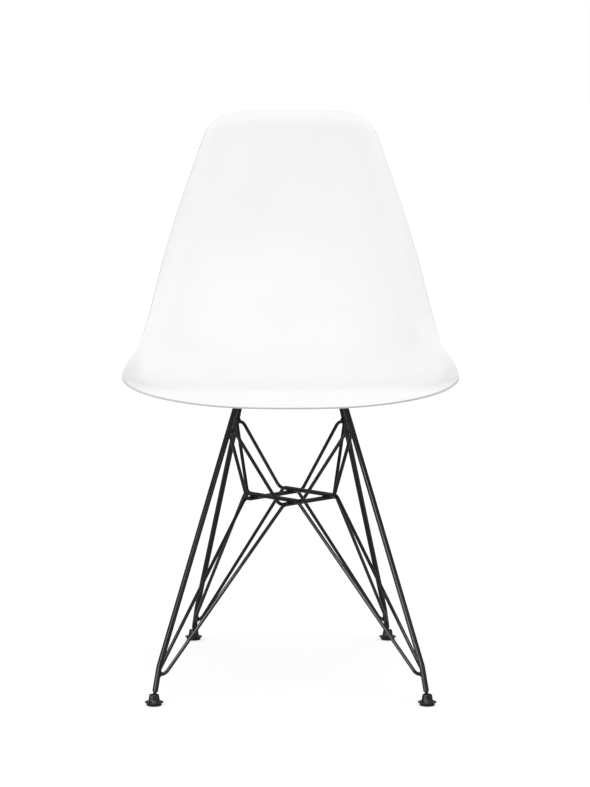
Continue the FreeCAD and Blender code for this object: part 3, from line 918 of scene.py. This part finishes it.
def collarTree():
    tree, groupIn, groupOut = newTree("collar fingers", [
        ("Finger", "NodeSocketObject"), ("Count", "NodeSocketInt"),
        ("Material", "NodeSocketMaterial")])
    finger = tree.nodes.new("GeometryNodeObjectInfo")
    line = tree.nodes.new("GeometryNodeMeshLine")
    line.inputs["Offset"].default_value = (0, 0, 0)
    index = tree.nodes.new("GeometryNodeInputIndex")
    angle = tree.nodes.new("ShaderNodeMath")
    angle.operation = "DIVIDE"
    angle.inputs[0].default_value = math.tau
    turn = tree.nodes.new("ShaderNodeMath")
    turn.operation = "MULTIPLY"
    rotation = tree.nodes.new("ShaderNodeCombineXYZ")
    place = tree.nodes.new("GeometryNodeInstanceOnPoints")
    join = tree.nodes.new("GeometryNodeJoinGeometry")
    wire(tree, (groupIn, "Finger", finger, "Object"), (groupIn, "Count", line, "Count"),
         (groupIn, "Count", angle, 1), (index, "Index", turn, 0), (angle, "Value", turn, 1),
         (turn, "Value", rotation, "Z"), (line, "Mesh", place, "Points"),
         (finger, "Geometry", place, "Instance"), (rotation, "Vector", place, "Rotation"),
         (groupIn, "Geometry", join, "Geometry"), (place, "Instances", join, "Geometry"))
    finishTree(tree, join, "Geometry", groupIn, groupOut)
    return tree


def bootProfile():
    # outside up to the floor of the slots, then down the cup that holds the ball
    floor, steps = glide["slotFloor"], glide["cupSteps"]
    points = glide["bootOutline"] + [(collarRadius(z), z) for z in (floor - 1.0, floor)]
    points.append((socketRadius(floor), floor))
    cup = glide["ballRadius"] + glide["clearance"]
    for k in range(1, steps + 1):
        turn = math.asin((base["ballHeight"] - floor) / cup)
        turn += (math.pi / 2 - turn) * k / steps
        radius = cup * math.cos(turn) if k < steps else 0
        points.append((radius, base["ballHeight"] - cup * math.sin(turn)))
    return points


def neckProfile():
    ball, steps = glide["ballRadius"], glide["ballSteps"]
    points = [(0, -ball)]
    for k in range(1, steps):
        turn = math.radians(-90 + glide["ballArc"] * k / steps)
        points.append((ball * math.cos(turn), ball * math.sin(turn)))
    return points + glide["neckOutline"]


finger = newPiece("collar_finger", fingerMesh())
rounding = finger.modifiers.new("rounding", "BEVEL")
rounding.width = glide["fingerRounding"] * mm
rounding.segments = 2
rounding.limit_method = "ANGLE"
settle(finger)
bootMesh = turnedMesh("glide_boot", bootProfile(), glide["sides"])
boot = growPiece("glide_boot", bootMesh, collarTree(), {
    "Finger": finger, "Count": glide["slots"], "Material": made["bootNylon"]})
turnOutwards(boot.data)
soleMesh = turnedMesh("glide_sole", glide["soleOutline"], glide["sides"])
neckMesh = turnedMesh("ball_neck", neckProfile(), glide["neckSides"])
for corner, (side, front) in legCorners.items():
    top, bend, foot = legPoints(side, front)
    overFloor = Matrix.Translation(Vector((foot.x, foot.y, 0)) * mm)
    alongLeg = (bend - foot).to_track_quat("Z", "Y").to_matrix().to_4x4()
    atBall = Matrix.Translation(foot * mm) @ alongLeg
    for label, source, matrix, finish, body, slotName, node in (
            ("boot", boot.data, overFloor, "bootNylon", "glide_" + corner, "boot", "glide_boot_"),
            ("sole", soleMesh, overFloor, "solePlastic", "glide_" + corner, "sole", "glide_sole_"),
            ("ball", neckMesh, atBall, "ballSteel", "chair", "plated_steel", "ball_stud_")):
        piece = newPiece(label + "_" + corner, placeMesh(source, matrix))
        smoothShade(piece.data, glide["sharpAngle"])
        wear(piece, finish)
        standFor(piece, body, slotName, node + corner)
for helper in (finger, boot):
    bpy.data.objects.remove(helper)
print("glides built")


# seat mounts: cross bars with broken edges, socket screws and washers

mounts = {
    "barEdge": 0.7, "barEdgeSteps": 3, "barEdgeAngle": 40, "barSharpAngle": 25,
    "headRadius": 6.0, "headHeight": 3.6, "flutes": 36, "fluteDepth": 0.18,
    "hexRadius": 2.3, "hexDepth": 2.4, "shankRadius": 3.0, "shankLength": 20.0, "shankEdge": 0.6,
    "washerRadius": 6.5, "washerHole": 3.3, "washerHeight": 1.2, "washerEdge": 0.15,
    "washerFootEdge": 0.25, "sides": 144, "washerSides": 72, "sharpAngle": 30,
}


def brokenEdges(name, node, width):
    # copy of a flat CAD part with its edges rounded off
    source = frame["nodes"][node].data.copy()
    form = bmesh.new()
    form.from_mesh(source)
    bmesh.ops.remove_doubles(form, verts=form.verts, dist=1e-6)
    bmesh.ops.dissolve_limit(form, angle_limit=math.radians(1), verts=form.verts, edges=form.edges)
    form.to_mesh(source)
    form.free()
    piece = newPiece(name, source)
    edge = piece.modifiers.new("broken edges", "BEVEL")
    edge.width = width * mm
    edge.segments = mounts["barEdgeSteps"]
    edge.limit_method = "ANGLE"
    edge.angle_limit = math.radians(mounts["barEdgeAngle"])
    return settle(piece)


for node in ("cross_bar_lower", "cross_bar_upper"):
    bar = brokenEdges(node + "_flat", node, mounts["barEdge"])
    smoothShade(bar.data, mounts["barSharpAngle"])
    wear(bar, "barBlack")
    standFor(bar, "chair", "wire", node)


def ringRow(z, radiusAt):
    turns = [math.tau * k / mounts["sides"] for k in range(mounts["sides"])]
    return [polar(radiusAt(turn), turn, z) * mm for turn in turns]


def roundRow(radius, z, flute=0.0):
    return ringRow(z, lambda turn: radius - flute * (0.5 + 0.5 * math.cos(turn * mounts["flutes"])))


def hexRow(radius, z):
    half = math.pi / 6
    return ringRow(z, lambda turn: radius * math.cos(half) / math.cos(turn % (2 * half) - half))


def screwMesh():
    # z = 0 under the head, which hangs below
    low, head, flute = -mounts["headHeight"], mounts["headRadius"], mounts["fluteDepth"]
    socket, floor = mounts["hexRadius"], low + mounts["hexDepth"]
    shank, end, broken = mounts["shankRadius"], mounts["shankLength"], mounts["shankEdge"]
    rows = [roundRow(0, floor + 0.5), hexRow(socket, floor), hexRow(socket, low + 0.25),
            hexRow(socket + 0.3, low), roundRow(head - 1.0, low), roundRow(head - 0.45, low + 0.12),
            roundRow(head - 0.15, low + 0.45), roundRow(head, low + 0.8, flute),
            roundRow(head, -0.5, flute), roundRow(head, -0.2), roundRow(head - 0.2, 0),
            roundRow(shank, 0), roundRow(shank, end - broken), roundRow(shank - broken, end),
            roundRow(0, end)]
    return rowsMesh("screw", rows)


def washerMesh():
    # a ring of its own section, closed on itself
    hole, outer, high = mounts["washerHole"], mounts["washerRadius"], mounts["washerHeight"]
    edge, foot = mounts["washerEdge"], mounts["washerFootEdge"]
    section = [(hole, edge), (hole + edge, 0), (outer - foot, 0), (outer, foot), (outer, high - edge),
               (outer - edge, high), (hole + edge, high), (hole, high - edge)]
    count, sides = len(section), mounts["washerSides"]
    points, faces = [], []
    for k in range(sides):
        points += [polar(r, math.tau * k / sides, z) * mm for r, z in section]
        for j in range(count):
            after = (j + 1) % count
            here, there = k * count, ((k + 1) % sides) * count
            faces.append((here + j, there + j, there + after, here + after))
    mesh = meshFrom("washer", points, faces)
    turnOutwards(mesh)
    return mesh


def fastenerTree():
    tree, groupIn, groupOut = newTree("fasteners", [("Fastener", "NodeSocketObject"),
                                                    ("Material", "NodeSocketMaterial")])
    source = tree.nodes.new("GeometryNodeObjectInfo")
    place = tree.nodes.new("GeometryNodeInstanceOnPoints")
    wire(tree, (groupIn, "Fastener", source, "Object"), (groupIn, "Geometry", place, "Points"),
         (source, "Geometry", place, "Instance"))
    finishTree(tree, place, "Instances", groupIn, groupOut)
    return tree


onPoints = fastenerTree()
washerFloor = base["barBottom"] - mounts["washerHeight"]
spots = [mountPlace(side, front) for side, front in legCorners.values()]
fastenerPlaces = [Vector((spot.x, spot.y, washerFloor)) * mm for spot in spots]
for name, source, node in (("socket_screws", screwMesh(), "mount_screws"),
                           ("flat_washers", washerMesh(), "screw_washers")):
    helper = newPiece(name + "_one", source)
    piece = growPiece(name, meshFrom(name, fastenerPlaces, []), onPoints, {
        "Fastener": helper, "Material": made["screwZinc"]})
    turnOutwards(piece.data)
    smoothShade(piece.data, mounts["sharpAngle"])
    bpy.data.objects.remove(helper)
    standFor(piece, "chair", "plated_steel", node)

# parts that keep their CAD shape
keptFinishes = {"rubber_mount_" + corner: "mountRubber" for corner in legCorners}
keptFinishes["threaded_inserts"] = "insertBrass"
for node, finish in keptFinishes.items():
    part = frame["nodes"][node]
    if not part.material_slots:
        part.data.materials.append(made[finish])
    for materialSlot in part.material_slots:
        materialSlot.material = made[finish]
print("mounts built")


# floor, light and camera

studio = {
    "floorSize": 60.0, "floorColour": (0.42, 0.42, 0.42), "floorLift": 0.64,
    "ambient": 0.93, "reflected": 0.28,
    "lamps": {
        "key": {"place": (2.7, -2.5, 1.9), "aim": (0, 0, 0.5), "size": 1.6, "power": 9.0},
        "above": {"place": (0.45, -1.3, 2.9), "aim": (0, 0, 0.4), "size": 1.8, "power": 10.5},
        "front": {"place": (0.3, -2.2, 0.15), "aim": (0, 0, 0.45), "size": 1.2, "power": 3.0},
        "lowLeft": {"place": (-1.3, -0.9, 0.05), "aim": (0, -0.1, 0.43), "size": 0.7, "power": 4.5},
        "gleam": {"place": (-2.0, -3.2, 1.7), "aim": (0, 0, 0.3), "size": 2.4, "power": 70.0,
                  "onlyOn": ("wireBlack", "bootNylon")},
        "highGleam": {"place": (-0.4, -1.5, 2.9), "aim": (0, 0, 0.2), "size": 1.8, "power": 90.0,
                      "onlyOn": ("wireBlack", "bootNylon")},
    },
}


def whiteFloor():
    size = studio["floorSize"] / 2
    corners = [(-size, -size, 0), (size, -size, 0), (size, size, 0), (-size, size, 0)]
    mesh = meshFrom("floor", corners, [(0, 1, 2, 3)])
    material = bpy.data.materials.new("studioFloor")
    material.use_nodes = True
    nodes = material.node_tree.nodes
    nodes.remove(nodes["Principled BSDF"])
    matt = nodes.new("ShaderNodeBsdfDiffuse")
    matt.inputs["Color"].default_value = (*studio["floorColour"], 1)
    glow = nodes.new("ShaderNodeEmission")
    path = nodes.new("ShaderNodeLightPath")
    strength = nodes.new("ShaderNodeMath")
    strength.operation = "MULTIPLY"
    strength.inputs[1].default_value = studio["floorLift"]
    both = nodes.new("ShaderNodeAddShader")
    wire(material.node_tree, (path, "Is Camera Ray", strength, 0),
         (strength, "Value", glow, "Strength"), (matt, "BSDF", both, 0),
         (glow, "Emission", both, 1), (both, "Shader", nodes["Material Output"], "Surface"))
    mesh.materials.append(material)
    floor = newPiece("floor", mesh)


def whiteWorld():
    world = bpy.data.worlds.new("studio")
    bpy.context.scene.world = world
    world.use_nodes = True
    nodes = world.node_tree.nodes
    background = nodes["Background"]
    background.inputs["Color"].default_value = (1, 1, 1, 1)
    path = nodes.new("ShaderNodeLightPath")
    seen = nodes.new("ShaderNodeMath")
    seen.operation = "MAXIMUM"
    mirrored = nodes.new("ShaderNodeMapRange")
    mirrored.inputs["To Min"].default_value = studio["ambient"]
    mirrored.inputs["To Max"].default_value = studio["reflected"]
    strength = nodes.new("ShaderNodeMapRange")
    strength.inputs["To Max"].default_value = 1.0
    wire(world.node_tree, (path, "Is Camera Ray", seen, 0), (path, "Is Transmission Ray", seen, 1),
         (path, "Is Glossy Ray", mirrored, "Value"), (seen, "Value", strength, "Value"),
         (mirrored, "Result", strength, "To Min"), (strength, "Result", background, "Strength"))


def softLamp(name, look):
    lamp = bpy.data.lights.new(name, "AREA")
    lamp.shape = "DISK"
    lamp.size = look["size"]
    lamp.energy = look["power"]
    lampObject = bpy.data.objects.new(name, lamp)
    bpy.context.scene.collection.objects.link(lampObject)
    lampObject.location = look["place"]
    if "onlyOn" in look:
        # soft box that is only mirrored, in the pieces with these finishes
        lampObject.visible_diffuse = False
        receivers = bpy.data.collections.new(name + "Receivers")
        for piece in bpy.context.scene.objects:
            if piece.type == "MESH" and set(piece.data.materials.keys()) & set(look["onlyOn"]):
                receivers.objects.link(piece)
        lampObject.light_linking.receiver_collection = receivers
    aim = Vector(look["aim"]) - Vector(look["place"])
    lampObject.rotation_euler = aim.to_track_quat("-Z", "Y").to_euler()


whiteFloor()
whiteWorld()
for lampName, look in studio["lamps"].items():
    softLamp(lampName, look)

viewpoint = {
    "place": (0.0, -4.456, 0.939), "tiltDown": 6.77, "turn": -0.0014,
    "focus": 3135.0, "frameHeight": 787.0, "sensorWidth": 36.0,
}
camera = bpy.data.cameras.new("camera")
camera.sensor_width = viewpoint["sensorWidth"]
camera.lens = viewpoint["focus"] / viewpoint["frameHeight"] * camera.sensor_width
cameraObject = bpy.data.objects.new("camera", camera)
bpy.context.scene.collection.objects.link(cameraObject)
cameraObject.location = viewpoint["place"]
cameraObject.rotation_euler = (math.radians(90 - viewpoint["tiltDown"]), 0, viewpoint["turn"])
bpy.context.scene.camera = cameraObject
bpy.context.scene.view_settings.view_transform = "Standard"
print("studio set")
